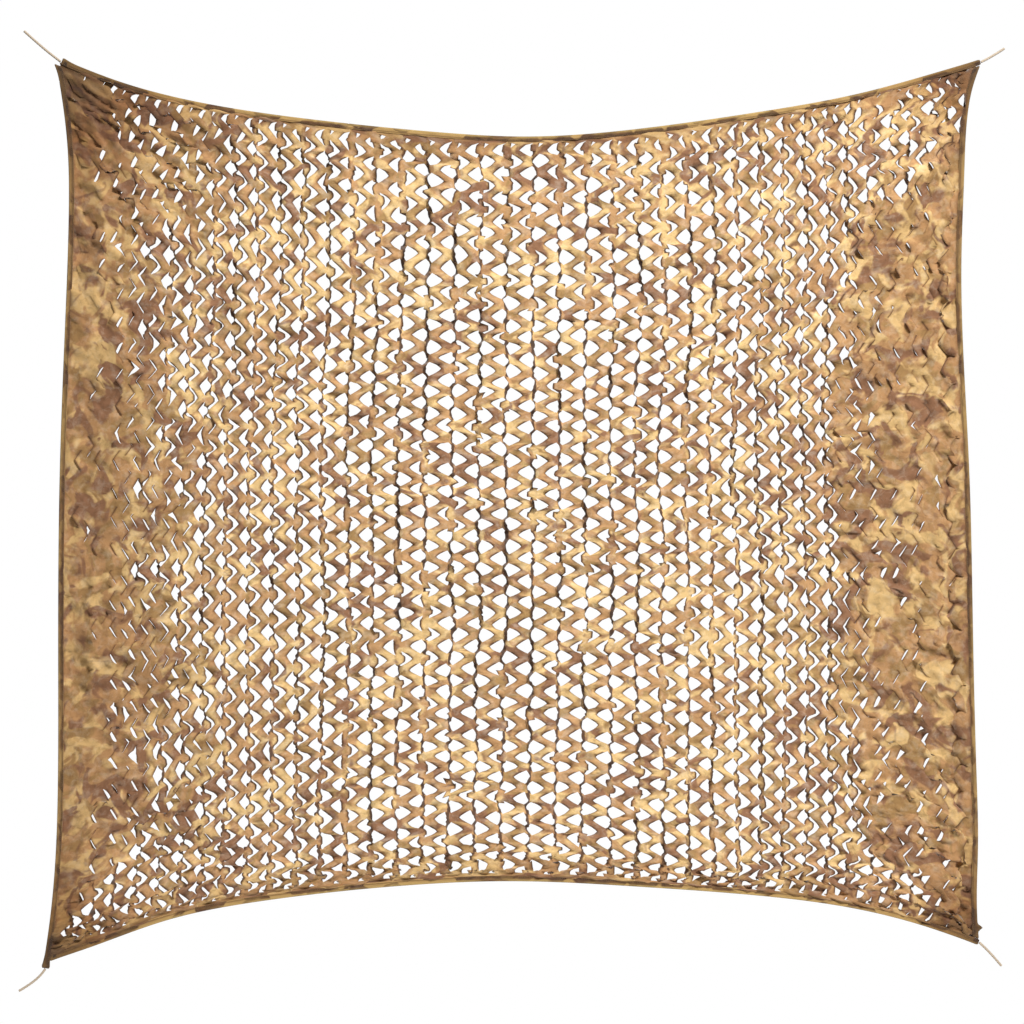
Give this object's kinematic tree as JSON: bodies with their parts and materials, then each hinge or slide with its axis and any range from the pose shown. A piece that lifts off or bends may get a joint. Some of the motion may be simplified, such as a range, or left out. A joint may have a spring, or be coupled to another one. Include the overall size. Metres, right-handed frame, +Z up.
{
  "type": "camouflage netting",
  "caption": "Stretched camouflage net of slit cloth that opens into holes, with folded edge bindings and a cord tie at each corner.",
  "frame": {"origin": "middle of the top edge, on the outer fold of the top binding", "axes": "+X to the right along the top edge as seen from the front, +Y through the net from front to back, +Z up"},
  "size_m": [3.23, 0.0422, 3.1471],
  "materials": {
    "camo_cloth": "matt woven polyester, printed in yellow tan, camel, mauve brown and olive brown",
    "camo_binding": "matt woven polyester of the same print, folded and sewn",
    "beige_cord": "matt twisted cord"
  },
  "bodies": {
    "root": {"net_cloth": "camo_cloth", "binding_top": "camo_binding", "binding_bottom": "camo_binding", "binding_left": "camo_binding", "binding_right": "camo_binding", "tie_top_left": "beige_cord", "tie_top_right": "beige_cord", "tie_bottom_left": "beige_cord", "tie_bottom_right": "beige_cord"}
  },
  "joints": []
}
